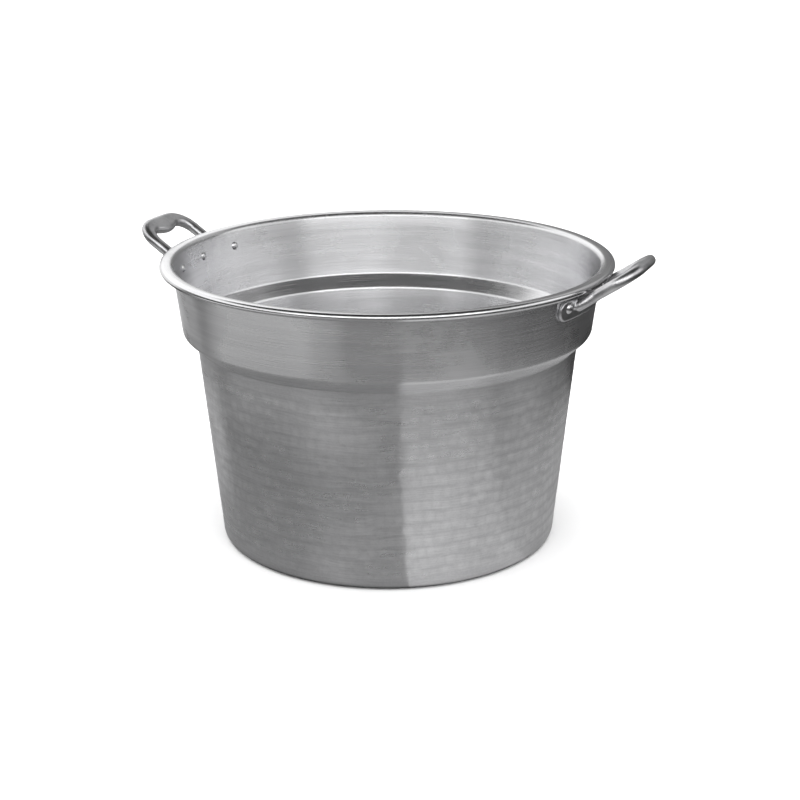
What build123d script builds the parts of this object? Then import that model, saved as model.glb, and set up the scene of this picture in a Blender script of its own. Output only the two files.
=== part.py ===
from build123d import *
from math import atan, cos, degrees, radians, sin
import os

# A large spun aluminium kettle: tapering hammered wall, shoulder, wide band, flared lip with a
# rolled edge, and two cast loop handles, each held by three rivets.
# Millimetres. +Z is up. The origin is the centre of the base's underside, and the handles lie
# along +X and -X.

# ---------------------------------------------------------------- driving dimensions: vessel
RIM_RADIUS = 250.0            # to the outside of the rolled edge
HEIGHT = 317.5                # to the top of the rolled edge
SHEET = 2.0                   # wall thickness everywhere

BASE_RADIUS = 189.6           # where the lower wall, carried down, meets the floor
BASE_CORNER = 8.0             # outside radius between base and wall
CREASE_RADIUS = 212.1         # top of the lower wall, where the shoulder starts
CREASE_HEIGHT = 226.7
CREASE_ROUND = 3.5
BAND_FOOT_RADIUS = 227.3      # lower edge of the wide band
BAND_FOOT_HEIGHT = 240.8
BAND_FOOT_ROUND = 7.0
BAND_TOP_RADIUS = 236.4       # where the band, carried up, meets the lip's underside
LIP_RISE = 0.6                # how far the lip climbs from the band to the roll
LIP_ROUND = 3.5               # underside radius between band and lip
ROLL_RADIUS = 3.8             # outside radius of the rolled edge
ROLL_TURN = 255.0             # degrees that the edge is rolled through

# ---------------------------------------------------------------- driving dimensions: handles
HANDLE_ANGLE = 33.7           # the loop's rise above level
ROOT_RADIUS = 240.0           # where the loop's middle plane leaves the flange
ROOT_HEIGHT = 299.3

# The loop's sections are rounded bars: (width in the loop's plane, thickness, edge radius).
ROOT_BAR = (23.0, 12.0, 5.2)
LEG_BAR = (13.0, 11.6, 5.2)
TURN_BAR = (16.5, 12.2, 5.6)
GRIP_BAR = (24.5, 12.7, 5.9)
LEG_ACROSS = 42.5             # from the loop's centre line to each leg's
LOOP_TURN = 22.5              # centre line radius between leg and grip
TURN_START = 33.9             # distances from the root, along the loop's plane
LEG_END = 20.0
GRIP_OUTER = 66.8
ROOT_START = -5.0
ROOT_END = 6.0

FLANGE_HALF_WIDTH = 75.0
FLANGE_TOP = 304.5
FLANGE_FOOT = 282.0
FLANGE_THICKNESS = 4.0
FLANGE_CORNER = 10.0
FLANGE_EDGE = 1.5
FLANGE_SWEEP = 48.0           # degrees of band that the flange is cut from

# ---------------------------------------------------------------- driving dimensions: rivets
RIVET_HEIGHT = 296.0
RIVET_SPREAD = 15.2           # degrees round the vessel between neighbouring rivets
SHANK_RADIUS = 3.0
INNER_HEAD_RADIUS = 5.0
INNER_HEAD_HEIGHT = 2.4
OUTER_HEAD_RADIUS = 5.5
OUTER_HEAD_HEIGHT = 3.0
HEAD_UNDERCUT = 0.5           # how deep a head starts inside what it is then trimmed to

# ---------------------------------------------------------------- worked out from the above
LIP_UNDERSIDE = HEIGHT - SHEET
LIP_START = LIP_UNDERSIDE - LIP_RISE
BAND_SLOPE = (BAND_TOP_RADIUS - BAND_FOOT_RADIUS) / (LIP_START - BAND_FOOT_HEIGHT)
BAND_LEAN = degrees(atan(BAND_SLOPE))
SIDES = {"right": 0.0, "left": 180.0}
RIVET_PLACES = {"front": -RIVET_SPREAD, "middle": 0.0, "rear": RIVET_SPREAD}


def band_radius(height):
    """Outside radius of the wide band at a height."""
    return BAND_FOOT_RADIUS + BAND_SLOPE * (height - BAND_FOOT_HEIGHT)


def revolve_outline(points, sweep=360.0):
    """A closed outline of (radius, height) points, revolved and centred on +X."""
    with BuildSketch(Plane.XZ) as section:
        with BuildLine():
            Polyline(*points, close=True)
        make_face()
    return Rot(0, 0, -sweep / 2) * revolve(section.sketch, Axis.Z, revolution_arc=sweep)


# ---------------------------------------------------------------- vessel
def make_vessel(holes):
    """The spun vessel: the sheet's lower and outer face, thickened, revolved and drilled."""
    roll_centre = (RIM_RADIUS - ROLL_RADIUS, HEIGHT - ROLL_RADIUS)
    corners = [
        (0, 0),
        (BASE_RADIUS, 0),
        (CREASE_RADIUS, CREASE_HEIGHT),
        (BAND_FOOT_RADIUS, BAND_FOOT_HEIGHT),
        (BAND_TOP_RADIUS, LIP_START),
        (roll_centre[0], LIP_UNDERSIDE),
    ]
    rounds = [BASE_CORNER, CREASE_ROUND, BAND_FOOT_ROUND, LIP_ROUND]
    with BuildSketch(Plane.XZ) as section:
        with BuildLine():
            with BuildLine() as face:
                FilletPolyline(*corners, radius=rounds)
                CenterArc(roll_centre, ROLL_RADIUS - SHEET, 90, -ROLL_TURN)
            offset(face.line, amount=SHEET, side=Side.LEFT)
        make_face()
    return revolve(section.sketch, Axis.Z) - holes


# ---------------------------------------------------------------- handles
def bar_section(bar, along, across, heading):
    """A rounded bar's section in the loop's plane, square to its heading."""
    width, thickness, edge = bar
    plane = Plane(origin=(along, across, 0), x_dir=(0, 0, 1), z_dir=heading)
    return plane * RectangleRounded(thickness, width, edge)


def make_loop():
    """The handle's loop, drawn flat: X runs from the root to the grip, Y across."""
    out, sideways = (1, 0, 0), (0, 1, 0)
    turn_across = LEG_ACROSS - LOOP_TURN
    root_section = bar_section(ROOT_BAR, ROOT_START, LEG_ACROSS, out)
    leg_foot = bar_section(LEG_BAR, ROOT_END, LEG_ACROSS, out)
    leg_head = bar_section(LEG_BAR, LEG_END, LEG_ACROSS, out)
    turn_foot = bar_section(TURN_BAR, TURN_START, LEG_ACROSS, out)
    half = loft([root_section, leg_foot])
    half += extrude(leg_foot, LEG_END - ROOT_END)
    half += loft([leg_head, turn_foot])
    turn_axis = Axis((TURN_START, turn_across, 0), (0, 0, 1))
    half += revolve(turn_foot, turn_axis, revolution_arc=-90)
    turn_end = TURN_START + LOOP_TURN
    grip = loft([
        bar_section(TURN_BAR, turn_end, turn_across, sideways),
        bar_section(GRIP_BAR, GRIP_OUTER - GRIP_BAR[0] / 2, 0, sideways),
        bar_section(TURN_BAR, turn_end, -turn_across, sideways),
    ])
    return half + mirror(half, Plane.XZ) + grip


def make_flange():
    """The handle's curved flange, which lies against the band."""
    foot, top = band_radius(FLANGE_FOOT), band_radius(FLANGE_TOP)
    ring = revolve_outline(
        [
            (foot, FLANGE_FOOT),
            (foot + FLANGE_THICKNESS, FLANGE_FOOT),
            (top + FLANGE_THICKNESS, FLANGE_TOP),
            (top, FLANGE_TOP),
        ],
        FLANGE_SWEEP,
    )
    middle = (FLANGE_TOP + FLANGE_FOOT) / 2
    outline = RectangleRounded(2 * FLANGE_HALF_WIDTH, FLANGE_TOP - FLANGE_FOOT, FLANGE_CORNER)
    place = Plane(origin=(0, 0, middle), x_dir=(0, 1, 0), z_dir=(1, 0, 0))
    plate = ring & extrude(place * outline, RIM_RADIUS)
    outer_face = plate.faces().sort_by(Axis.X)[-1]
    return fillet(outer_face.edges(), FLANGE_EDGE)


def make_handle(holes):
    """One casting, loop and flange, trimmed to the band and drilled: the +X handle."""
    tilt = radians(HANDLE_ANGLE)
    loop_plane = Plane(
        origin=(ROOT_RADIUS, 0, ROOT_HEIGHT),
        x_dir=(cos(tilt), 0, sin(tilt)),
        z_dir=(-sin(tilt), 0, cos(tilt)),
    )
    inside = revolve_outline(
        [
            (0, BAND_FOOT_HEIGHT),
            (BAND_FOOT_RADIUS, BAND_FOOT_HEIGHT),
            (band_radius(HEIGHT), HEIGHT),
            (0, HEIGHT),
        ]
    )
    return (loop_plane * make_loop() - inside) + make_flange() - holes


# ---------------------------------------------------------------- rivets
def on_band(solid):
    """A solid drawn on XY, set on the band at +X with its Z pointing out of the band."""
    lean = radians(BAND_LEAN)
    place = Plane(
        origin=(band_radius(RIVET_HEIGHT), 0, RIVET_HEIGHT),
        x_dir=(0, 1, 0),
        z_dir=(cos(lean), 0, -sin(lean)),
    )
    return place * solid


def make_head(radius, height):
    """A domed rivet head on the XY plane, with a short skirt below it to be trimmed off."""
    ball = (radius**2 + height**2) / (2 * height)
    dome = Pos(0, 0, height - ball) * Sphere(ball)
    column = Cylinder(
        radius, height + HEAD_UNDERCUT, align=(Align.CENTER, Align.CENTER, Align.MIN)
    )
    skirt = Cylinder(radius, HEAD_UNDERCUT, align=(Align.CENTER, Align.CENTER, Align.MAX))
    return (dome & column) + skirt


def make_rivet():
    """The rivet at +X: two domed heads trimmed to the curved sheet and flange, and a shank."""
    inner_wall = SHEET / cos(radians(BAND_LEAN))
    foot, top = band_radius(FLANGE_FOOT), band_radius(FLANGE_TOP)
    gripped = revolve_outline(
        [
            (foot - inner_wall, FLANGE_FOOT),
            (foot + FLANGE_THICKNESS, FLANGE_FOOT),
            (top + FLANGE_THICKNESS, FLANGE_TOP),
            (top - inner_wall, FLANGE_TOP),
        ],
        FLANGE_SWEEP,
    )
    stack = FLANGE_THICKNESS * cos(radians(BAND_LEAN))
    outer_head = Pos(0, 0, stack) * make_head(OUTER_HEAD_RADIUS, OUTER_HEAD_HEIGHT)
    inner_head = Rot(180, 0, 0) * make_head(INNER_HEAD_RADIUS, INNER_HEAD_HEIGHT)
    heads = on_band(outer_head + Pos(0, 0, -SHEET) * inner_head) - gripped
    return heads + on_band(make_shank(SHEET + HEAD_UNDERCUT, stack + HEAD_UNDERCUT))


def make_shank(inward, outward):
    """A shank along Z from below the band's outside to above it."""
    length = inward + outward
    return Pos(0, 0, (outward - inward) / 2) * Cylinder(SHANK_RADIUS, length)


def save(solid, name):
    """Write one node's STEP file."""
    solid.label = name
    export_step(solid, f"parts/{name}.step")


# ---------------------------------------------------------------- the kettle
os.makedirs("parts", exist_ok=True)
drill = on_band(make_shank(4 * SHEET, 4 * FLANGE_THICKNESS))
handle_holes = [Rot(0, 0, turn) * drill for turn in RIVET_PLACES.values()]
handle = make_handle(handle_holes)
rivet = make_rivet()

save(make_vessel([Rot(0, 0, side) * hole for side in SIDES.values() for hole in handle_holes]),
     "kettle_shell")
for side_name, side in SIDES.items():
    save(Rot(0, 0, side) * handle, f"handle_{side_name}")
    for place_name, turn in RIVET_PLACES.items():
        # A half turn about Z carries the front rivet to the rear, so the left side counts back.
        seat = turn if side_name == "right" else -turn
        save(Rot(0, 0, side + seat) * rivet, f"rivet_{side_name}_{place_name}")
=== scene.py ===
"""A large spun aluminium kettle with hammered wall, rolled lip and riveted cast handles.

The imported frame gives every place; this script gives each piece its finished shape and finish.
Lengths are metres and +Z is up.
"""

import logging
import math
from dataclasses import dataclass, field
from enum import Enum
from typing import Callable, Sequence, Union

import bpy
import numpy as np
from mathutils import Matrix, Vector


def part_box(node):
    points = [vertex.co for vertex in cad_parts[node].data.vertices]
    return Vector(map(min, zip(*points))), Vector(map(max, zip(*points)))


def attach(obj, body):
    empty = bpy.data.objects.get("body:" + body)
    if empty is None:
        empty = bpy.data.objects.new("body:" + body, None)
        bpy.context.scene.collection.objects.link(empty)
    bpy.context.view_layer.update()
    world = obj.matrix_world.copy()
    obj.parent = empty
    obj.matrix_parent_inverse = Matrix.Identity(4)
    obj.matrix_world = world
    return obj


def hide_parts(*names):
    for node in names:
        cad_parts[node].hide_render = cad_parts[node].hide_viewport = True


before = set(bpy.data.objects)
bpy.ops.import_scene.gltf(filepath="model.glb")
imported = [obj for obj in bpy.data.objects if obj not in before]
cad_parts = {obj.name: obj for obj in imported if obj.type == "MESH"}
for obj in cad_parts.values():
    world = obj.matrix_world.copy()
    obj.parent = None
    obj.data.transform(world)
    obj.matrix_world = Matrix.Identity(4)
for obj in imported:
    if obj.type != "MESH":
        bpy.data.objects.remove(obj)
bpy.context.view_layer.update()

MM = 0.001
TURN = 2 * math.pi
BODY = "root"
log = logging.getLogger("kettle")

Number = Union[float, int]
Point = tuple[float, float, float]
Pair = tuple[float, float]


# ------------------------------------------------------------------ shader bench
class Signal:
    """A number socket that takes part in ordinary arithmetic by adding Math nodes."""

    def __init__(self, bench: "ShaderBench", socket: bpy.types.NodeSocket) -> None:
        """Wrap one output socket of a bench's material."""
        self.bench = bench
        self.socket = socket

    def math(self, operation: str, *others: "Value", clamp: bool = False) -> "Signal":
        """Add a Math node with this signal as its first value.

        Args:
            operation: The Math node's operation.
            others: Its further values.
            clamp: Whether the result is held between 0 and 1.

        Returns:
            The node's result.
        """
        return self.bench.math(operation, self, *others, clamp=clamp)

    def __add__(self, other: "Value") -> "Signal":
        """Sum."""
        return self.math("ADD", other)

    __radd__ = __add__

    def __sub__(self, other: "Value") -> "Signal":
        """Difference."""
        return self.math("SUBTRACT", other)

    def __rsub__(self, other: "Value") -> "Signal":
        """Difference from a plain number."""
        return self.bench.math("SUBTRACT", other, self)

    def __mul__(self, other: "Value") -> "Signal":
        """Product."""
        return self.math("MULTIPLY", other)

    __rmul__ = __mul__

    def __truediv__(self, other: "Value") -> "Signal":
        """Quotient."""
        return self.math("DIVIDE", other)

    def __pow__(self, other: "Value") -> "Signal":
        """Power."""
        return self.math("POWER", other)


Value = Union[Signal, Number]
Colour = tuple[float, float, float]


class ShaderBench:
    """One material and the means to wire it up."""

    def __init__(self, name: str) -> None:
        """Start an empty node material under a name."""
        self.material = bpy.data.materials.new(name)
        self.material.use_nodes = True
        self.tree = self.material.node_tree
        self.tree.nodes.clear()

    @classmethod
    def of_world(cls, world: bpy.types.World) -> "ShaderBench":
        """A bench that wires up a world instead of a material."""
        bench = cls.__new__(cls)
        bench.tree = world.node_tree
        bench.tree.nodes.clear()
        return bench

    def node(
        self, kind: str, settings: dict | None = None, inputs: dict | None = None
    ) -> bpy.types.Node:
        """Add one node.

        Args:
            kind: The node's type.
            settings: Its own properties, set first. A "stops" entry sets a ramp's stops.
            inputs: Values or links for its sockets, by socket name or number.

        Returns:
            The new node.
        """
        made = self.tree.nodes.new(kind)
        for key, value in (settings or {}).items():
            if key == "stops":
                self._set_stops(made.color_ramp, value)
            else:
                setattr(made, key, value)
        for key, value in (inputs or {}).items():
            socket = made.inputs[key]
            if isinstance(value, Signal):
                self.tree.links.new(value.socket, socket)
            elif isinstance(value, bpy.types.NodeSocket):
                self.tree.links.new(value, socket)
            else:
                socket.default_value = value
        return made

    @staticmethod
    def _set_stops(ramp: bpy.types.ColorRamp, stops: Sequence[tuple[float, float]]) -> None:
        """Give a colour ramp grey stops, each a place and a level."""
        while len(ramp.elements) < len(stops):
            ramp.elements.new(0.5)
        for element, (place, level) in zip(ramp.elements, stops):
            element.position = place
            element.color = (level, level, level, 1.0)

    def math(self, operation: str, *values: Value, clamp: bool = False) -> Signal:
        """Add a Math node and return its result."""
        made = self.node(
            "ShaderNodeMath",
            {"operation": operation, "use_clamp": clamp},
            dict(enumerate(values)),
        )
        return Signal(self, made.outputs[0])

    def place(self) -> tuple[Signal, Signal, Signal]:
        """The surface point's object coordinates as three signals."""
        coordinates = self.node("ShaderNodeTexCoord")
        split = self.node("ShaderNodeSeparateXYZ", inputs={0: coordinates.outputs["Object"]})
        return tuple(Signal(self, output) for output in split.outputs)

    def attribute(self, name: str) -> Signal:
        """A number that the mesh carries at each point."""
        made = self.node("ShaderNodeAttribute", {"attribute_name": name})
        return Signal(self, made.outputs["Fac"])

    def vector(self, x: Value, y: Value, z: Value) -> bpy.types.NodeSocket:
        """Three values as one vector socket."""
        return self.node("ShaderNodeCombineXYZ", inputs={0: x, 1: y, 2: z}).outputs[0]

    def noise(
        self, vector: bpy.types.NodeSocket, scale: float = 1.0, detail: float = 2.0,
        roughness: float = 0.5,
    ) -> Signal:
        """Smooth noise, mostly between 0.3 and 0.7, at a place given by a vector."""
        made = self.node(
            "ShaderNodeTexNoise",
            inputs={"Vector": vector, "Scale": scale, "Detail": detail, "Roughness": roughness},
        )
        return Signal(self, made.outputs[0])

    def ramp(self, signal: Signal, low: float, high: float) -> Signal:
        """A signal stretched so that low becomes 0 and high becomes 1, held between them."""
        return ((signal - low) / (high - low)).math("ADD", 0.0, clamp=True)

    def blend(self, first: Colour, second: Colour, factor: Signal) -> bpy.types.NodeSocket:
        """A colour between two, by a factor signal."""
        made = self.node(
            "ShaderNodeMix",
            {"data_type": "RGBA"},
            {"Factor": factor, 6: (*first, 1.0), 7: (*second, 1.0)},
        )
        return made.outputs[2]

    def bump(self, height: Signal, depth: float) -> bpy.types.NodeSocket:
        """A normal from a height signal, where a height of 1 stands for a depth in metres."""
        settings = {"Height": height, "Distance": depth, "Strength": 1.0}
        return self.node("ShaderNodeBump", inputs=settings).outputs[0]

    def metal(
        self, colour: bpy.types.NodeSocket, roughness: Signal, normal: bpy.types.NodeSocket,
        anisotropy: float = 0.0, turn: float = 0.0,
    ) -> bpy.types.Material:
        """Close the material with a metal shader.

        Args:
            colour: Base colour.
            roughness: Roughness signal.
            normal: Normal, from a bump.
            anisotropy: How far the gloss is drawn out across the brushing.
            turn: Direction of that stretch, as a part of a full turn.

        Returns:
            The finished material.
        """
        shader = self.node(
            "ShaderNodeBsdfPrincipled",
            inputs={
                "Base Color": colour,
                "Metallic": 1.0,
                "Roughness": roughness,
                "Normal": normal,
                "Anisotropic": anisotropy,
                "Anisotropic Rotation": turn,
            },
        )
        self.node("ShaderNodeOutputMaterial", inputs={"Surface": shader.outputs[0]})
        return self.material


# ------------------------------------------------------------------ finishes
ACROSS_BRUSHING = 0.25       # a quarter turn: the gloss spreads square to the turned lines
STRIKE = "strike"            # mesh attribute: 1 in the middle of a hammer mark, 0 between marks


@dataclass(frozen=True)
class SpunAluminium:
    """Sheet aluminium turned on a lathe: fine lines run round the axis."""

    name: str
    light: Colour = (0.80, 0.80, 0.81)
    dark: Colour = (0.70, 0.70, 0.71)
    roughness: float = 0.32
    roughness_spread: float = 0.12
    anisotropy: float = 0.93
    line_pitch: float = 0.9 * MM
    band_pitch: float = 7.0 * MM
    line_depth: float = 0.010 * MM
    rounds: float = 3.0
    smudge: float = 0.10

    def lines(self, bench: ShaderBench) -> tuple[Signal, Signal, Signal]:
        """Turned lines, broad bands and smudges, as three noise signals."""
        x, y, z = bench.place()
        radius = (x * x + y * y) ** 0.5
        along = radius + z
        round_x, round_y = x / radius * self.rounds, y / radius * self.rounds
        fine = bench.noise(bench.vector(round_x, round_y, along / self.line_pitch), detail=3.0)
        broad = bench.noise(
            bench.vector(round_x * 0.5, round_y * 0.5, along / self.band_pitch), detail=2.0
        )
        smudge = bench.noise(bench.vector(x, y, z), scale=9.0, detail=4.0, roughness=0.6)
        return fine, broad, smudge

    def material(self) -> bpy.types.Material:
        """Build the node material."""
        bench = ShaderBench(self.name)
        fine, broad, smudge = self.lines(bench)
        tone = bench.ramp(fine * 0.5 + broad * 0.5, 0.36, 0.64)
        colour = bench.blend(self.dark, self.light, tone)
        roughness = (
            self.roughness
            + (fine - 0.5) * self.roughness_spread
            + bench.ramp(smudge, 0.5, 0.7) * self.smudge
        )
        height = fine + broad * 1.5
        return bench.metal(
            colour, roughness, bench.bump(height, self.line_depth), self.anisotropy, ACROSS_BRUSHING
        )


@dataclass(frozen=True)
class HammeredAluminium(SpunAluminium):
    """Turned sheet that has been planished: softer lines, small facets and fine scratches."""

    dark: Colour = (0.58, 0.58, 0.59)
    scratch_pitch: float = 2.2 * MM
    scratch_rounds: float = 30.0
    wander: float = 0.02
    wander_scale: float = 14.0
    grain_scale: float = 420.0
    polish: float = 0.16

    def material(self) -> bpy.types.Material:
        """Build the node material."""
        bench = ShaderBench(self.name)
        fine, broad, smudge = self.lines(bench)
        x, y, z = bench.place()
        wander = bench.noise(bench.vector(x, y, z), scale=self.wander_scale, detail=2.0)
        level = (z + wander * self.wander) / self.scratch_pitch
        scratch = bench.noise(
            bench.vector(x * self.scratch_rounds, y * self.scratch_rounds, level), detail=4.0
        )
        grain = bench.noise(bench.vector(x, y, z), scale=self.grain_scale, detail=3.0)
        strike = bench.attribute(STRIKE)
        tone = bench.ramp(fine * 0.3 + scratch * 0.3 + grain * 0.2 + strike * self.polish, 0.34, 0.66)
        colour = bench.blend(self.dark, self.light, tone)
        roughness = (
            self.roughness
            + (scratch - 0.5) * self.roughness_spread
            + bench.ramp(smudge, 0.48, 0.72) * self.smudge
            - (strike - 0.5) * self.polish * 0.2
        )
        height = fine + scratch * 1.5 + grain
        return bench.metal(
            colour, roughness, bench.bump(height, self.line_depth), self.anisotropy, ACROSS_BRUSHING
        )


@dataclass(frozen=True)
class CastAluminium:
    """Tumbled casting: a soft grain, with darker and rougher patches."""

    name: str
    light: Colour = (0.68, 0.68, 0.69)
    dark: Colour = (0.46, 0.46, 0.47)
    roughness: float = 0.33
    roughness_spread: float = 0.22
    grain_scale: float = 900.0
    patch_scale: float = 70.0
    grain_depth: float = 0.06 * MM

    def material(self) -> bpy.types.Material:
        """Build the node material."""
        bench = ShaderBench(self.name)
        place = bench.vector(*bench.place())
        grain = bench.noise(place, scale=self.grain_scale, detail=3.0, roughness=0.6)
        patch = bench.noise(place, scale=self.patch_scale, detail=4.0, roughness=0.6)
        colour = bench.blend(self.dark, self.light, bench.ramp(patch * 0.7 + grain * 0.3, 0.36, 0.6))
        roughness = self.roughness + (patch - 0.5) * self.roughness_spread
        return bench.metal(colour, roughness, bench.bump(grain + patch * 2.0, self.grain_depth))


@dataclass(frozen=True)
class PaleFloor:
    """Plain matt floor."""

    name: str = "pale_floor"
    colour: Colour = (0.93, 0.93, 0.93)

    def material(self) -> bpy.types.Material:
        """Build the node material."""
        bench = ShaderBench(self.name)
        shader = bench.node(
            "ShaderNodeBsdfDiffuse", inputs={"Color": (*self.colour, 1.0)}
        )
        bench.node("ShaderNodeOutputMaterial", inputs={"Surface": shader.outputs[0]})
        return bench.material


# ------------------------------------------------------------------ modelling bench
class Select(Enum):
    """What edit mode selects."""

    VERTICES = "VERT"
    EDGES = "EDGE"
    FACES = "FACE"


class Bench:
    """Hand modelling with Blender's own tools, one piece at a time."""

    @staticmethod
    def clear() -> None:
        """Leave edit mode and deselect everything."""
        if bpy.context.object and bpy.context.object.mode != "OBJECT":
            bpy.ops.object.mode_set(mode="OBJECT")
        bpy.ops.object.select_all(action="DESELECT")

    @staticmethod
    def start(name: str) -> bpy.types.Object:
        """Name the primitive just added and open it in edit mode, all of it selected."""
        piece = bpy.context.object
        piece.name = piece.data.name = name
        bpy.ops.object.mode_set(mode="EDIT")
        bpy.ops.mesh.select_mode(type=Select.VERTICES.value)
        bpy.ops.mesh.select_all(action="SELECT")
        return piece

    @staticmethod
    def choose(piece: bpy.types.Object, kind: Select, test: Callable[[Vector], bool]) -> int:
        """Select the elements of the open piece whose middle passes a test.

        Args:
            piece: The piece in edit mode.
            kind: Vertices, edges or faces.
            test: Called with each element's middle.

        Returns:
            How many were selected.
        """
        bpy.ops.mesh.select_mode(type=kind.value)
        bpy.ops.mesh.select_all(action="DESELECT")
        bpy.ops.object.mode_set(mode="OBJECT")
        mesh = piece.data
        count = 0
        if kind is Select.FACES:
            for face in mesh.polygons:
                face.select = test(face.center)
                count += face.select
        elif kind is Select.EDGES:
            for edge in mesh.edges:
                ends = [mesh.vertices[i].co for i in edge.vertices]
                edge.select = test((ends[0] + ends[1]) / 2)
                count += edge.select
        else:
            for vertex in mesh.vertices:
                vertex.select = test(vertex.co)
                count += vertex.select
        bpy.ops.object.mode_set(mode="EDIT")
        return count

    @staticmethod
    def extrude(step: Sequence[float]) -> None:
        """Extrude the selection by a step."""
        bpy.ops.mesh.extrude_region_move(TRANSFORM_OT_translate={"value": tuple(step)})

    @classmethod
    def chain(cls, name: str, points: Sequence[Pair]) -> bpy.types.Object:
        """Draw a chain of edges in the XZ plane by extruding one vertex.

        Args:
            name: The piece's name.
            points: (radius, height) of each vertex.

        Returns:
            The piece, left in edit mode.
        """
        cls.clear()
        bpy.ops.mesh.primitive_plane_add(size=MM, location=(points[0][0], 0, points[0][1]))
        piece = cls.start(name)
        bpy.ops.mesh.merge(type="CENTER")
        for near, far in zip(points, points[1:]):
            cls.extrude((far[0] - near[0], 0, far[1] - near[1]))
        cls.settle(piece)
        return piece

    @staticmethod
    def settle(piece: bpy.types.Object) -> None:
        """Put the piece's place into its mesh, leaving its object at the origin."""
        mode = piece.mode
        bpy.ops.object.mode_set(mode="OBJECT")
        piece.data.transform(piece.matrix_world)
        piece.matrix_world = Matrix.Identity(4)
        bpy.ops.object.mode_set(mode=mode)

    @classmethod
    def turn(cls, name: str, points: Sequence[Pair], steps: int) -> bpy.types.Object:
        """Turn a profile about Z, as on a lathe.

        Args:
            name: The piece's name.
            points: The profile's (radius, height) points.
            steps: How many facets go round.

        Returns:
            The turned piece, in object mode.
        """
        piece = cls.chain(name, points)
        bpy.ops.mesh.select_all(action="SELECT")
        bpy.ops.mesh.spin(steps=steps, angle=TURN, center=(0, 0, 0), axis=(0, 0, 1))
        bpy.ops.mesh.select_all(action="SELECT")
        bpy.ops.mesh.remove_doubles(threshold=0.002 * MM)
        bpy.ops.object.mode_set(mode="OBJECT")
        return piece

    @staticmethod
    def apply(piece: bpy.types.Object, kind: str, **settings: object) -> None:
        """Add a modifier, set it and apply it."""
        bpy.context.view_layer.objects.active = piece
        modifier = piece.modifiers.new(kind.lower(), kind)
        for key, value in settings.items():
            setattr(modifier, key, value)
        bpy.ops.object.modifier_apply(modifier=modifier.name)

    @classmethod
    def join(cls, pieces: Sequence[bpy.types.Object]) -> bpy.types.Object:
        """Join pieces into the first."""
        cls.clear()
        for piece in pieces:
            piece.select_set(True)
        bpy.context.view_layer.objects.active = pieces[0]
        bpy.ops.object.join()
        return pieces[0]

    @staticmethod
    def outward(piece: bpy.types.Object) -> None:
        """Turn all normals outward."""
        bpy.context.view_layer.objects.active = piece
        bpy.ops.object.mode_set(mode="EDIT")
        bpy.ops.mesh.select_all(action="SELECT")
        bpy.ops.mesh.normals_make_consistent(inside=False)
        bpy.ops.object.mode_set(mode="OBJECT")

    @staticmethod
    def smooth(piece: bpy.types.Object, angle: float) -> None:
        """Shade smooth below an edge angle in degrees."""
        bpy.ops.object.select_all(action="DESELECT")
        piece.select_set(True)
        bpy.context.view_layer.objects.active = piece
        bpy.ops.object.shade_smooth_by_angle(angle=math.radians(angle))

    @staticmethod
    def copy(piece: bpy.types.Object, name: str, place: Matrix) -> bpy.types.Object:
        """Copy a piece with its own mesh, moved to a place."""
        twin = piece.copy()
        twin.data = piece.data.copy()
        twin.name = twin.data.name = name
        twin.data.transform(place)
        bpy.context.scene.collection.objects.link(twin)
        return twin

    @staticmethod
    def vertices(piece: bpy.types.Object) -> np.ndarray:
        """The piece's vertex places, one row each."""
        places = np.empty(len(piece.data.vertices) * 3, np.float32)
        piece.data.vertices.foreach_get("co", places)
        return places.reshape(-1, 3).astype(float)

    @staticmethod
    def set_vertices(piece: bpy.types.Object, places: np.ndarray) -> None:
        """Move the piece's vertices to new places."""
        piece.data.vertices.foreach_set("co", places.astype(np.float32).ravel())
        piece.data.update()


def hand_in(piece: bpy.types.Object, slot: str, *nodes: str) -> None:
    """Ride a finished piece on the body, in place of CAD nodes."""
    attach(piece, BODY)
    if nodes:
        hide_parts(*nodes)
    triangles = sum(len(face.vertices) - 2 for face in piece.data.polygons)
    log.info("%s: %d triangles, stands for %s", piece.name, triangles, ", ".join(nodes))


# ------------------------------------------------------------------ the sheet's profile
@dataclass
class Corner:
    """A corner of the sheet's outer line and its outside rounding."""

    radius: float
    height: float
    rounding: float = 0.0


@dataclass
class Station:
    """A point on the sheet's outer line, with the unit vector towards the inner face."""

    radius: float
    height: float
    inward: Pair

    def offset(self, distance: float) -> Pair:
        """The point a distance from the outer line, through the sheet."""
        return (
            self.radius + self.inward[0] * distance,
            self.height + self.inward[1] * distance,
        )


def left_of(heading: float) -> Pair:
    """Unit vector to the left of a heading in radians."""
    return (-math.sin(heading), math.cos(heading))


def arc_stations(centre: Pair, radius: float, start: float, sweep: float, steps: int) -> list[Station]:
    """Stations along an arc.

    Args:
        centre: The arc's middle, as radius and height.
        radius: The arc's radius.
        start: Angle of the first station, in radians.
        sweep: Angle swept, positive to the left.
        steps: Number of steps.

    Returns:
        The stations, ends included.
    """
    side = math.copysign(1.0, sweep)
    stations = []
    for step in range(steps + 1):
        angle = start + sweep * step / steps
        out = (math.cos(angle), math.sin(angle))
        stations.append(
            Station(
                centre[0] + radius * out[0],
                centre[1] + radius * out[1],
                (-side * out[0], -side * out[1]),
            )
        )
    return stations


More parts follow.
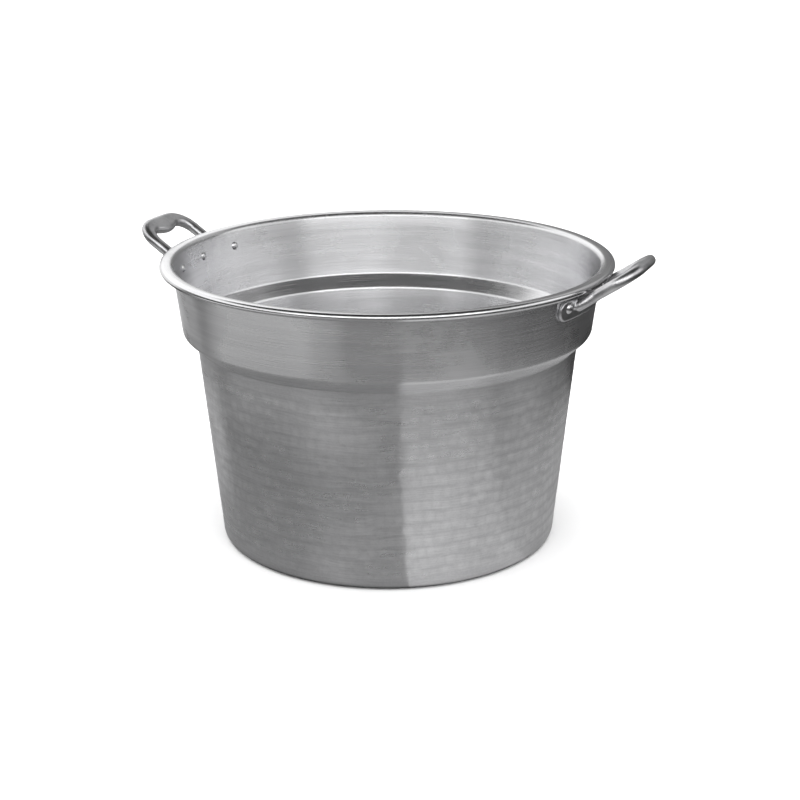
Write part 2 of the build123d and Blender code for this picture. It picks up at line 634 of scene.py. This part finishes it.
def rounded_line(corners: Sequence[Corner], steps: int) -> list[list[Station]]:
    """Round a line's corners.

    Args:
        corners: The corners, of which the first and last are ends.
        steps: Steps in each rounding.

    Returns:
        One list of stations for each corner, so that neighbours are joined by straight runs.
    """
    first_heading = math.atan2(
        corners[1].height - corners[0].height, corners[1].radius - corners[0].radius
    )
    groups = [[Station(corners[0].radius, corners[0].height, left_of(first_heading))]]
    for before, corner, after in zip(corners, corners[1:], corners[2:]):
        heading_in = math.atan2(corner.height - before.height, corner.radius - before.radius)
        heading_out = math.atan2(after.height - corner.height, after.radius - corner.radius)
        bend = heading_out - heading_in
        reach = corner.rounding * math.tan(abs(bend) / 2)
        side = math.copysign(1.0, bend)
        left = left_of(heading_in)
        centre = (
            corner.radius - reach * math.cos(heading_in) + side * corner.rounding * left[0],
            corner.height - reach * math.sin(heading_in) + side * corner.rounding * left[1],
        )
        start = heading_in - side * math.pi / 2
        groups.append(arc_stations(centre, corner.rounding, start, bend, steps))
    last_heading = math.atan2(
        corners[-1].height - corners[-2].height, corners[-1].radius - corners[-2].radius
    )
    groups.append([Station(corners[-1].radius, corners[-1].height, left_of(last_heading))])
    return groups


def evenly(start: Pair, end: Pair, cuts: int) -> list[Pair]:
    """The points that cut a straight run into equal parts, without its ends."""
    return [
        (
            start[0] + (end[0] - start[0]) * k / (cuts + 1),
            start[1] + (end[1] - start[1]) * k / (cuts + 1),
        )
        for k in range(1, cuts + 1)
    ]


# ------------------------------------------------------------------ vessel
class Zone(Enum):
    """The vessel's differently finished faces."""

    BAND = 0
    HAMMERED = 1
    INSIDE = 2
    LIP = 3


@dataclass
class Vessel:
    """The spun vessel, hammered below its shoulder."""

    rim_radius: float
    height: float
    sheet: float = 2.0 * MM
    base_radius: float = 189.6 * MM
    base_corner: float = 8.0 * MM
    crease_radius: float = 212.1 * MM
    crease_height: float = 226.7 * MM
    crease_round: float = 3.5 * MM
    band_foot_radius: float = 227.3 * MM
    band_foot_height: float = 240.8 * MM
    band_foot_round: float = 7.0 * MM
    band_top_radius: float = 236.4 * MM
    lip_rise: float = 0.6 * MM
    lip_round: float = 3.5 * MM
    roll_radius: float = 3.8 * MM
    roll_turn: float = 255.0
    facets: int = 220
    hammered_facets: int = 610
    rows: int = 16
    cuts_per_row: int = 7
    marks_per_row: int = 122
    row_depth: float = 0.20 * MM
    mark_depth: float = 0.12 * MM
    row_uneven: float = 0.5
    mark_uneven: float = 0.8
    mark_stray: float = 0.16
    row_waves: tuple[Point, ...] = ((0.18, 2, 0.1), (0.10, 5, 0.4))
    round_steps: int = 6
    base_ring_count: int = 6
    longest_run: float = 16.0 * MM
    bridge_inset: float = 1.5 * MM
    seed: int = 7
    finishes: dict[Zone, SpunAluminium] = field(default_factory=lambda: {
        Zone.BAND: SpunAluminium("spun_band", roughness=0.26, line_depth=0.008 * MM),
        Zone.HAMMERED: HammeredAluminium("hammered_wall", anisotropy=0.95, roughness=0.29),
        Zone.INSIDE: SpunAluminium("spun_inside", roughness=0.25, line_depth=0.006 * MM),
        Zone.LIP: SpunAluminium("turned_lip", roughness=0.19, anisotropy=0.6, line_depth=0.005 * MM),
    })

    @property
    def band_slope(self) -> float:
        """How fast the band widens with height."""
        top = self.height - self.sheet - self.lip_rise
        return (self.band_top_radius - self.band_foot_radius) / (top - self.band_foot_height)

    def band_radius(self, height: Number | np.ndarray) -> Number | np.ndarray:
        """Outside radius of the wide band at a height, or at each of an array of heights."""
        return self.band_foot_radius + self.band_slope * (height - self.band_foot_height)

    def line(self) -> list[list[Station]]:
        """The sheet's outer line from the axis, up the outside, to the end of the roll."""
        roll_middle = (self.rim_radius - self.roll_radius, self.height - self.roll_radius)
        lip_under = self.height - self.sheet
        corners = [
            Corner(0, 0),
            Corner(self.base_radius, 0, self.base_corner),
            Corner(self.crease_radius, self.crease_height, self.crease_round),
            Corner(self.band_foot_radius, self.band_foot_height, self.band_foot_round),
            Corner(self.band_top_radius, lip_under - self.lip_rise, self.lip_round),
            Corner(roll_middle[0], lip_under),
        ]
        groups = rounded_line(corners, self.round_steps)
        groups[-1] = arc_stations(
            roll_middle,
            self.roll_radius - self.sheet,
            math.pi / 2,
            -math.radians(self.roll_turn),
            3 * self.round_steps,
        )
        return groups

    def build(self) -> bpy.types.Object:
        """Turn the vessel, bridge in the hammered wall and dress it.

        Returns:
            The finished piece.
        """
        line = self.line()
        under, corner, crease = line[0], line[1], line[2]
        wall_foot, wall_head = corner[-1].offset(0), crease[0].offset(0)
        run = math.dist(wall_foot, wall_head)
        inset = self.bridge_inset / run
        foot, head = [
            (
                wall_foot[0] + (wall_head[0] - wall_foot[0]) * t,
                wall_foot[1] + (wall_head[1] - wall_foot[1]) * t,
            )
            for t in (inset, 1 - inset)
        ]
        under_points = [station.offset(0) for station in under]
        corner_points = [station.offset(0) for station in corner]
        base = Bench.turn("base", under_points + self.base_rings() + corner_points, self.facets)
        upper_outer = self.path(line[2:], 0.0)
        inner = self.path(line, self.sheet)
        upper = Bench.turn("upper", upper_outer + inner[::-1], self.facets)
        cuts = self.rows * self.cuts_per_row - 1
        wall = Bench.turn("wall", [foot, *evenly(foot, head, cuts), head], self.hammered_facets)
        self.hammer(wall, foot, head)
        piece = Bench.join([upper, base, wall])
        piece.name = piece.data.name = "kettle_vessel"
        self.bridge(piece, wall_foot, foot)
        self.bridge(piece, wall_head, head)
        Bench.outward(piece)
        Bench.smooth(piece, 50.0)
        self.dress(piece)
        return piece

    def base_rings(self) -> list[Pair]:
        """Points between the axis and the base's corner, so that the flat base has rings."""
        return evenly((0.0, 0.0), (self.base_radius - self.base_corner, 0.0), self.base_ring_count)

    def path(self, groups: Sequence[Sequence[Station]], depth: float) -> list[Pair]:
        """A face of the sheet as points, with extra rings along its straight runs.

        Args:
            groups: Stations grouped by corner.
            depth: How far through the sheet the face lies.

        Returns:
            The face's points.
        """
        points: list[Pair] = []
        for group in groups:
            stations = [station.offset(depth) for station in group]
            if points:
                gap = math.dist(points[-1], stations[0])
                points += evenly(points[-1], stations[0], int(gap / self.longest_run))
            points += stations
        return points

    @staticmethod
    def bridge(piece: bpy.types.Object, coarse: Pair, fine: Pair) -> None:
        """Bridge two open rings of the piece, each given as a radius and a height."""
        bpy.context.view_layer.objects.active = piece
        bpy.ops.object.mode_set(mode="EDIT")
        rings = (coarse, fine)
        near = 0.3 * MM

        def on_ring(place: Vector) -> bool:
            """Whether a vertex is on either ring."""
            radius = math.hypot(place.x, place.y)
            return any(math.dist((radius, place.z), ring) < near for ring in rings)

        Bench.choose(piece, Select.VERTICES, on_ring)
        bpy.ops.mesh.select_mode(type="EDGE")
        bpy.ops.mesh.bridge_edge_loops()
        bpy.ops.object.mode_set(mode="OBJECT")

    def hammer(self, wall: bpy.types.Object, foot: Pair, head: Pair) -> None:
        """Strike rows of shallow marks into the lower wall.

        Each mark is a dish that meets its neighbours in soft ridges. Marks differ a little in
        place and depth, and rows in depth, as a planishing hammer leaves them. Each of the row
        waves has a height in rows, a number of waves round the wall and a start.

        Args:
            wall: The wall's mesh.
            foot: The wall's lowest ring.
            head: Its highest ring.
        """
        rng = np.random.default_rng(self.seed)
        places = Bench.vertices(wall)
        radius = np.hypot(places[:, 0], places[:, 1])
        angle = np.arctan2(places[:, 1], places[:, 0]) / TURN % 1.0
        level = (places[:, 2] - foot[1]) / (head[1] - foot[1]) * self.rows
        drift = sum(
            height * np.sin(TURN * (angle * waves + start)) for height, waves, start in self.row_waves
        )
        level = level + drift
        rows = self.rows + 3
        phase = rng.random(rows)
        row_gain = 1 - self.row_uneven / 2 + self.row_uneven * rng.random(rows)
        shift = self.mark_stray * rng.standard_normal((rows, self.marks_per_row, 2))
        gain = 1 - self.mark_uneven / 2 + self.mark_uneven * rng.random((rows, self.marks_per_row))
        depth, strike = np.zeros(len(places)), np.zeros(len(places))
        nearest = np.full(len(places), np.inf)
        for row_step in (-1, 0, 1):
            row = np.clip(np.floor(level).astype(int) + row_step, -1, rows - 2)
            across = angle * self.marks_per_row - phase[row + 1]
            for mark_step in (-1, 0, 1):
                mark = np.floor(across).astype(int) + mark_step
                index = mark % self.marks_per_row
                du = across - mark - 0.5 - shift[row + 1, index, 0]
                dv = level - row - 0.5 - shift[row + 1, index, 1] * 0.6
                far = du * du + dv * dv
                closer = far < nearest
                dish = (
                    self.mark_depth * gain[row + 1, index] * (1 - 2 * np.minimum(du * du, 0.5))
                    + self.row_depth * row_gain[row + 1] * (1 - 3 * np.minimum(dv * dv, 0.33))
                )
                polish = gain[row + 1, index] * (1 - 4 * np.minimum(dv * dv, 0.25)) * (
                    1 - 2 * np.minimum(du * du, 0.25)
                )
                depth = np.where(closer, dish, depth)
                strike = np.where(closer, polish, strike)
                nearest = np.where(closer, far, nearest)
        fade = np.clip(np.minimum(level - drift, self.rows - (level - drift)), 0, 1)
        scale = 1 - depth * fade / radius
        places[:, 0] *= scale
        places[:, 1] *= scale
        Bench.set_vertices(wall, places)
        attribute = wall.data.attributes.new(STRIKE, "FLOAT", "POINT")
        attribute.data.foreach_set("value", strike * fade)

    def dress(self, piece: bpy.types.Object) -> None:
        """Give each zone of the vessel its finish."""
        for zone in Zone:
            piece.data.materials.append(self.finishes[zone].material())
        for face in piece.data.polygons:
            face.material_index = self.zone(face.center, face.normal).value

    def zone(self, middle: Vector, normal: Vector) -> Zone:
        """Which finish a face takes, from its middle and normal."""
        radius = math.hypot(middle.x, middle.y)
        outward = normal.x * middle.x + normal.y * middle.y > 0
        if middle.z < self.crease_height + self.crease_round / 2:
            outside = outward if radius > self.base_radius * 0.9 else normal.z < 0
            return Zone.HAMMERED if outside else Zone.INSIDE
        if radius > self.band_top_radius + self.lip_round / 2:
            return Zone.LIP
        lip_start = self.band_top_radius - self.sheet
        return Zone.BAND if outward or radius > lip_start else Zone.INSIDE


# ------------------------------------------------------------------ handles
class Side(Enum):
    """Which side of the vessel a handle is on, and its half turns about the axis."""

    RIGHT = 0
    LEFT = 1

    @property
    def word(self) -> str:
        """The side's name in node names."""
        return self.name.lower()

    @property
    def place(self) -> Matrix:
        """The turn that carries the right-hand handle here."""
        return Matrix.Rotation(math.pi * self.value, 4, "Z")


@dataclass(frozen=True)
class Bar:
    """A rounded bar's section: its width in the loop's plane, and its thickness."""

    width: float
    thickness: float


@dataclass
class LoopHandle:
    """A cast loop on a curved flange."""

    vessel: Vessel
    angle: float = 33.7
    root_radius: float = 240.0 * MM
    root_height: float = 299.3 * MM
    root: Bar = Bar(24.0 * MM, 12.4 * MM)
    leg: Bar = Bar(13.0 * MM, 11.6 * MM)
    grip_end: Bar = Bar(19.5 * MM, 12.4 * MM)
    grip: Bar = Bar(24.5 * MM, 12.7 * MM)
    corner: float = 5.0 * MM
    leg_across: float = 42.5 * MM
    turn_radius: float = 22.5 * MM
    turn_start: float = 33.9 * MM
    root_start: float = -9.0 * MM
    root_end: float = 16.0 * MM
    grip_bow: float = -1.8 * MM
    turn_steps: int = 12
    straight_steps: int = 8
    flange_half_width: float = 75.0 * MM
    flange_top: float = 304.5 * MM
    flange_foot: float = 282.0 * MM
    flange_thickness: float = 4.0 * MM
    flange_corner: float = 10.0 * MM
    flange_edge: float = 1.5 * MM
    flange_cuts: int = 30
    cutter_facets: int = 360
    voxel: float = 0.85 * MM
    relax: int = 5
    relax_factor: float = 0.6
    seat_gap: float = 0.03 * MM
    finish: CastAluminium = CastAluminium("cast_handle")

    def build(self) -> dict[Side, bpy.types.Object]:
        """Cast the right-hand handle and copy it to the left.

        Returns:
            Both pieces by side.
        """
        loop = self.loop()
        self.trim(loop)
        casting = Bench.join([loop, self.flange()])
        Bench.apply(casting, "REMESH", mode="VOXEL", voxel_size=self.voxel)
        Bench.apply(casting, "SMOOTH", factor=self.relax_factor, iterations=self.relax)
        self.seat(casting)
        Bench.smooth(casting, 80.0)
        casting.data.materials.clear()
        casting.data.materials.append(self.finish.material())
        pieces = {
            side: Bench.copy(casting, f"cast_handle_{side.word}", side.place) for side in Side
        }
        bpy.data.objects.remove(casting)
        return pieces

    def loop(self) -> bpy.types.Object:
        """Model the loop flat, with its legs along X, then tilt it up to its angle."""
        Bench.clear()
        bar, across = self.leg, self.leg_across
        turn_across = across - self.turn_radius
        bpy.ops.mesh.primitive_plane_add(
            size=1, location=(self.root_start, -across, 0), rotation=(0, math.pi / 2, 0)
        )
        piece = Bench.start("loop")
        bpy.ops.transform.resize(value=(1, bar.width, bar.thickness))
        bpy.ops.mesh.bevel(offset=self.corner, segments=5, affect="VERTICES", profile=0.5)
        Bench.settle(piece)
        bpy.ops.mesh.select_all(action="SELECT")
        self.run((self.turn_start - self.root_start, 0, 0))
        self.turn(-turn_across)
        self.run((0, 2 * turn_across, 0))
        self.turn(turn_across)
        self.run((self.root_start - self.turn_start, 0, 0))
        Bench.outward(piece)
        self.shape(piece)
        tilt = Matrix.Rotation(-math.radians(self.angle), 4, "Y")
        piece.data.transform(Matrix.Translation((self.root_radius, 0, self.root_height)) @ tilt)
        return piece

    def run(self, travel: Point) -> None:
        """Extrude the open end straight on, in equal steps."""
        for _ in range(self.straight_steps):
            Bench.extrude([part / self.straight_steps for part in travel])

    def turn(self, across: float) -> None:
        """Spin the open end a quarter turn about a corner's middle."""
        bpy.ops.mesh.spin(
            steps=self.turn_steps, angle=-math.pi / 2, center=(self.turn_start, across, 0),
            axis=(0, 0, 1),
        )

    def shape(self, piece: bpy.types.Object) -> None:
        """Give the even bar its changing section: swollen roots, slim legs and a broad grip."""
        places = Bench.vertices(piece)
        x, y, z = places.T
        side = np.where(y < 0, -1.0, 1.0)
        turn_across = self.leg_across - self.turn_radius
        beyond = x - self.turn_start
        inner = np.abs(y) - turn_across
        on_leg, on_grip = beyond <= 0, (beyond > 0) & (inner < 0)
        reach = np.hypot(beyond, inner)
        out = np.where(on_leg, np.abs(y) - self.leg_across,
                       np.where(on_grip, beyond, reach) - self.turn_radius)
        to_root = np.clip((self.root_end - x) / (self.root_end - self.root_start), 0, 1)
        to_root = to_root * to_root * (3 - 2 * to_root)
        round_turn = np.clip(np.arctan2(beyond, np.maximum(inner, 1e-9)) / (math.pi / 2), 0, 1)
        round_turn = np.where(on_leg, 0.0, np.where(on_grip, 1.0, round_turn))
        mid_grip = np.where(on_grip, np.cos(math.pi / 2 * np.clip(y / turn_across, -1, 1)), 0.0)

        def blend(part: str) -> np.ndarray:
            """A bar measure all round the loop, as a multiple of the leg's."""
            root, leg, end, grip = (
                getattr(bar, part) for bar in (self.root, self.leg, self.grip_end, self.grip)
            )
            measure = leg + (root - leg) * to_root + (end - leg) * round_turn
            return (measure + (grip - end) * mid_grip) / leg

        shift = out * (blend("width") - 1) + self.grip_bow * mid_grip
        turning = ~(on_leg | on_grip)
        safe_reach = np.maximum(reach, 1e-9)
        places[:, 0] += np.where(
            on_leg, 0.0, np.where(on_grip, shift, shift * beyond / safe_reach)
        )
        places[:, 1] += side * np.where(
            on_leg, shift, np.where(turning, shift * inner / safe_reach, 0.0)
        )
        places[:, 2] = z * blend("thickness")
        Bench.set_vertices(piece, places)

    def trim(self, piece: bpy.types.Object) -> None:
        """Cut away what reaches inside the band."""
        vessel = self.vessel
        low, high = vessel.band_foot_height, vessel.height
        Bench.clear()
        bpy.ops.mesh.primitive_cone_add(
            vertices=self.cutter_facets, radius1=vessel.band_radius(low),
            radius2=vessel.band_radius(high), depth=high - low, location=(0, 0, (low + high) / 2),
        )
        cutter = bpy.context.object
        Bench.apply(piece, "BOOLEAN", operation="DIFFERENCE", object=cutter, solver="EXACT")
        bpy.data.objects.remove(cutter)

    def flange(self) -> bpy.types.Object:
        """Model the flange flat, then wrap it round the band."""
        Bench.clear()
        height = self.flange_top - self.flange_foot
        middle = (self.flange_top + self.flange_foot) / 2
        bpy.ops.mesh.primitive_cube_add(size=1, location=(self.flange_thickness / 2, 0, middle))
        piece = Bench.start("flange")
        bpy.ops.transform.resize(value=(self.flange_thickness, 2 * self.flange_half_width, height))
        Bench.settle(piece)
        near = 0.1 * MM
        edge = self.flange_half_width - near
        Bench.choose(
            piece, Select.EDGES,
            lambda place: abs(place.y) > edge and abs(place.z - middle) > 0.4 * height
            and abs(place.x - self.flange_thickness / 2) < near,
        )
        bpy.ops.mesh.bevel(offset=self.flange_corner, segments=6, affect="EDGES")
        Bench.choose(
            piece, Select.FACES, lambda place: place.x > self.flange_thickness - near
        )
        bpy.ops.mesh.region_to_loop()
        bpy.ops.mesh.bevel(offset=self.flange_edge, segments=3, affect="EDGES")
        for cut in range(1, self.flange_cuts):
            bpy.ops.mesh.select_all(action="SELECT")
            across = (2 * cut / self.flange_cuts - 1) * self.flange_half_width
            bpy.ops.mesh.bisect(plane_co=(0, across, 0), plane_no=(0, 1, 0))
        bpy.ops.object.mode_set(mode="OBJECT")
        places = Bench.vertices(piece)
        radius = self.vessel.band_radius(places[:, 2]) + places[:, 0]
        turn = np.arcsin(places[:, 1] / self.vessel.band_radius(middle))
        places[:, 0], places[:, 1] = radius * np.cos(turn), radius * np.sin(turn)
        Bench.set_vertices(piece, places)
        Bench.outward(piece)
        return piece

    def seat(self, piece: bpy.types.Object) -> None:
        """Lift any point that smoothing left inside the band back to the band's face."""
        places = Bench.vertices(piece)
        radius = np.hypot(places[:, 0], places[:, 1])
        wall = self.vessel.band_radius(places[:, 2]) + self.seat_gap
        factor = np.where(radius < wall, wall / radius, 1.0)
        places[:, 0] *= factor
        places[:, 1] *= factor
        Bench.set_vertices(piece, places)


# ------------------------------------------------------------------ rivets
class Seat(Enum):
    """Where a rivet sits on its flange, as steps round the vessel from the middle."""

    FRONT = -1
    MIDDLE = 0
    REAR = 1


@dataclass
class Rivets:
    """Three rivets through each flange, their heads formed inside and out."""

    vessel: Vessel
    height: float = 296.0 * MM
    spread: float = 15.2
    shank_radius: float = 3.0 * MM
    inner_radius: float = 5.0 * MM
    inner_rise: float = 2.4 * MM
    outer_radius: float = 5.5 * MM
    outer_rise: float = 3.0 * MM
    flange_thickness: float = 4.0 * MM
    facets: int = 40
    dome_steps: int = 8
    sink: float = 0.07 * MM
    finish: CastAluminium = CastAluminium(
        "rivet_heads", light=(0.74, 0.74, 0.75), dark=(0.60, 0.60, 0.61), roughness=0.26,
        grain_scale=1400.0, patch_scale=160.0, grain_depth=0.03 * MM,
    )

    def dome(self, radius: float, rise: float) -> list[Pair]:
        """A head's profile from its rim to its crown, with a short upright edge."""
        ball = (radius**2 + rise**2) / (2 * rise)
        edge = math.asin(radius / ball)
        return [
            (ball * math.sin(edge * k / self.dome_steps),
             rise - ball + ball * math.cos(edge * k / self.dome_steps))
            for k in range(self.dome_steps, -1, -1)
        ]

    def build(self) -> dict[tuple[Side, Seat], bpy.types.Object]:
        """Turn one rivet and copy it to its six places.

        Returns:
            The pieces by side and seat.
        """
        lean = math.atan(self.vessel.band_slope)
        stack = self.flange_thickness * math.cos(lean)
        outer_foot, inner_foot = stack - self.sink, -self.vessel.sheet + self.sink
        outer = [(r, outer_foot + h) for r, h in self.dome(self.outer_radius, self.outer_rise)]
        inner = [(r, inner_foot - h) for r, h in self.dome(self.inner_radius, self.inner_rise)]
        shank = [(self.shank_radius, inner_foot), (self.shank_radius, outer_foot)]
        profile = inner[::-1] + shank + outer
        rivet = Bench.turn("rivet", profile, self.facets)
        Bench.outward(rivet)
        Bench.smooth(rivet, 40.0)
        rivet.data.materials.append(self.finish.material())
        out = Matrix.Rotation(math.pi / 2 + lean, 4, "Y")
        place = Matrix.Translation((self.vessel.band_radius(self.height), 0, self.height)) @ out
        pieces = {}
        for side in Side:
            for seat in Seat:
                steps = seat.value if side is Side.RIGHT else -seat.value
                turn = Matrix.Rotation(math.radians(self.spread * steps), 4, "Z")
                name = f"formed_rivet_{side.word}_{seat.name.lower()}"
                pieces[side, seat] = Bench.copy(rivet, name, side.place @ turn @ place)
        bpy.data.objects.remove(rivet)
        return pieces


# ------------------------------------------------------------------ studio
@dataclass(frozen=True)
class Panel:
    """A soft-edged patch of the surroundings, as seen from the kettle.

    Azimuths are degrees to the camera's right of the direction from the kettle to the camera.
    """

    name: str
    azimuth: Pair
    elevation: Pair
    radiance: float
    softness: Pair = (10.0, 8.0)


@dataclass
class Studio:
    """Camera, floor and soft surroundings."""

    heading: float = 23.3
    distance: float = 1750.0 * MM
    camera_height: float = 729.8 * MM
    pitch: float = 18.409
    roll: float = -0.3
    lens: float = 72.95
    shift: Pair = (0.0152, 0.0020)
    floor_size: float = 60.0
    sun_strength: float = 3.6
    sun_angle: float = 70.0
    ambient: float = 0.04
    panels: tuple[Panel, ...] = (
        Panel("front_high", (-50.0, 50.0), (10.0, 42.0), 2.2),
        Panel("left_high", (-180.0, -50.0), (10.0, 44.0), 1.25),
        Panel("right_high", (50.0, 110.0), (10.0, 44.0), 1.15),
        Panel("back_right_high", (122.0, 180.0), (20.0, 44.0), 0.5),
        Panel("right_level", (80.0, 180.0), (-10.0, 18.0), 0.15),
        Panel("back_left_level", (185.0, 240.0), (-15.0, 10.0), 0.85),
        Panel("left_low", (-120.0, -35.0), (-42.0, -18.0), 0.68, (24.0, 8.0)),
        Panel("front_low", (-35.0, 9.0), (-60.0, -18.0), 0.22),
        Panel("right_low", (9.0, 80.0), (-60.0, -18.0), 0.06),
    )
    card_radius: float = 580.0 * MM
    card_height: float = 0.5 * MM
    card_steps: int = 180
    lit_from: float = 6.5
    dim_from: float = 55.0
    lit_to: float = 170.0
    # Radiances of the wide card: painted shade on the left, painted light on the right and a dimmer
    # painted part further round.
    shaded_side: float = 0.26
    lit_side: float = 0.62
    dim_side: float = 0.48
    # The small card is a painted contact shadow in the metal's reflections.
    contact_radius: float = 190.5 * MM
    contact_height: float = 0.7 * MM
    contact_tone: float = 0.02

    def build(self) -> None:
        """Set up the camera, the floor, the surroundings and the sun."""
        self.camera()
        self.floor()
        self.cards()
        self.surroundings()
        self.overhead()

    def camera(self) -> None:
        """The camera, at the viewing angle that shows both handles."""
        data = bpy.data.cameras.new("camera")
        data.lens = self.lens
        data.sensor_width = 36.0
        data.shift_x, data.shift_y = self.shift
        camera = bpy.data.objects.new("camera", data)
        turn = math.radians(self.heading)
        place = (
            self.distance * math.sin(turn), -self.distance * math.cos(turn), self.camera_height
        )
        camera.matrix_world = (
            Matrix.Translation(place)
            @ Matrix.Rotation(turn, 4, "Z")
            @ Matrix.Rotation(math.radians(90.0 - self.pitch), 4, "X")
            @ Matrix.Rotation(math.radians(self.roll), 4, "Z")
        )
        bpy.context.scene.collection.objects.link(camera)
        bpy.context.scene.camera = camera

    def floor(self) -> None:
        """A plain pale floor, kept out of the metal's reflections."""
        Bench.clear()
        bpy.ops.mesh.primitive_plane_add(size=self.floor_size, location=(0, 0, 0))
        floor = bpy.context.object
        floor.name = "studio_floor"
        floor.data.materials.append(PaleFloor().material())
        floor.visible_glossy = False

    def cards(self) -> None:
        """Cards under the kettle that only the metal sees.

        The wide one is a painted reflection of a floor: painted light on the right and painted shade on
        the left, as on a floor beside a window, dimmer further round.
        The small one is a painted contact shadow along the line where the kettle stands.
        """
        tones = (self.shaded_side, self.lit_side, self.dim_side)
        wide = self.card("studio_card", self.card_radius, self.card_height, tones)
        turn = math.radians(self.heading)
        for face in wide.data.polygons:
            x, y, _ = face.center
            towards = x * math.sin(turn) - y * math.cos(turn)
            right = x * math.cos(turn) + y * math.sin(turn)
            azimuth = math.degrees(math.atan2(right, towards))
            if self.lit_from < azimuth < self.lit_to:
                face.material_index = 1 if azimuth < self.dim_from else 2
        # The small card is a painted contact shadow.
        self.card("studio_contact", self.contact_radius, self.contact_height, (self.contact_tone,))

    def card(self, name: str, radius: float, height: float, tones: Sequence[float]) -> bpy.types.Object:
        """A round glowing card that only reflections see.

        Args:
            name: Its name.
            radius: Its radius.
            height: How far it lies over the floor.
            tones: The radiance of each of its materials.

        Returns:
            The card, all of it in the first material.
        """
        Bench.clear()
        bpy.ops.mesh.primitive_circle_add(
            vertices=self.card_steps, radius=radius, fill_type="TRIFAN", location=(0, 0, height)
        )
        card = bpy.context.object
        card.name = name
        for tone in tones:
            bench = ShaderBench(f"{name}_{tone:.2f}")
            glow = bench.node("ShaderNodeEmission", inputs={"Color": (tone, tone, tone, 1.0)})
            bench.node("ShaderNodeOutputMaterial", inputs={"Surface": glow.outputs[0]})
            card.data.materials.append(bench.material)
        card.visible_camera = card.visible_diffuse = card.visible_shadow = False
        return card

    def surroundings(self) -> None:
        """Soft panels all round, which the metal reflects."""
        world = bpy.data.worlds.new("studio")
        bpy.context.scene.world = world
        world.use_nodes = True
        bench = ShaderBench.of_world(world)
        coordinates = bench.node("ShaderNodeTexCoord")
        split = bench.node("ShaderNodeSeparateXYZ", inputs={0: coordinates.outputs["Generated"]})
        x, y, z = (Signal(bench, output) for output in split.outputs)
        turn = math.radians(self.heading)
        towards = x * math.sin(turn) - y * math.cos(turn)
        right = x * math.cos(turn) + y * math.sin(turn)
        azimuth = right.math("ARCTAN2", towards) * math.degrees(1)
        elevation = z.math("ARCSINE") * math.degrees(1)
        total: Value = self.ambient
        for panel in self.panels:
            middle = sum(panel.azimuth) / 2
            half = (panel.azimuth[1] - panel.azimuth[0]) / 2
            off = (azimuth - middle).math("WRAP", -180.0, 180.0).math("ABSOLUTE")
            soft_across, soft_up = panel.softness
            across = bench.ramp(off, half + soft_across / 2, half - soft_across / 2)
            low, high = panel.elevation
            above = bench.ramp(elevation, low - soft_up / 2, low + soft_up / 2)
            below = bench.ramp(elevation, high + soft_up / 2, high - soft_up / 2)
            total = across * above * below * panel.radiance + total
        background = bench.node(
            "ShaderNodeBackground", inputs={"Color": (1.0, 1.0, 1.0, 1.0), "Strength": total}
        )
        bench.node("ShaderNodeOutputWorld", inputs={"Surface": background.outputs[0]})
        bpy.context.scene.view_settings.view_transform = "Standard"

    def overhead(self) -> None:
        """A broad overhead sun, which whitens the floor evenly."""
        data = bpy.data.lights.new("overhead", "SUN")
        data.energy = self.sun_strength
        data.angle = math.radians(self.sun_angle)
        light = bpy.data.objects.new("overhead", data)
        light.visible_glossy = False
        bpy.context.scene.collection.objects.link(light)


def main() -> None:
    """Build the kettle in order and report each piece."""
    logging.basicConfig(level=logging.INFO, format="%(name)s: %(message)s")
    low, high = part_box("kettle_shell")
    Studio().build()
    vessel = Vessel(rim_radius=high.x, height=high.z)
    hand_in(vessel.build(), "spun_aluminium", "kettle_shell")
    for side, piece in LoopHandle(vessel).build().items():
        hand_in(piece, "cast_aluminium", f"handle_{side.word}")
    for (side, seat), piece in Rivets(vessel).build().items():
        hand_in(piece, "rivet_aluminium", f"rivet_{side.word}_{seat.name.lower()}")


if __name__ == "__main__":
    main()
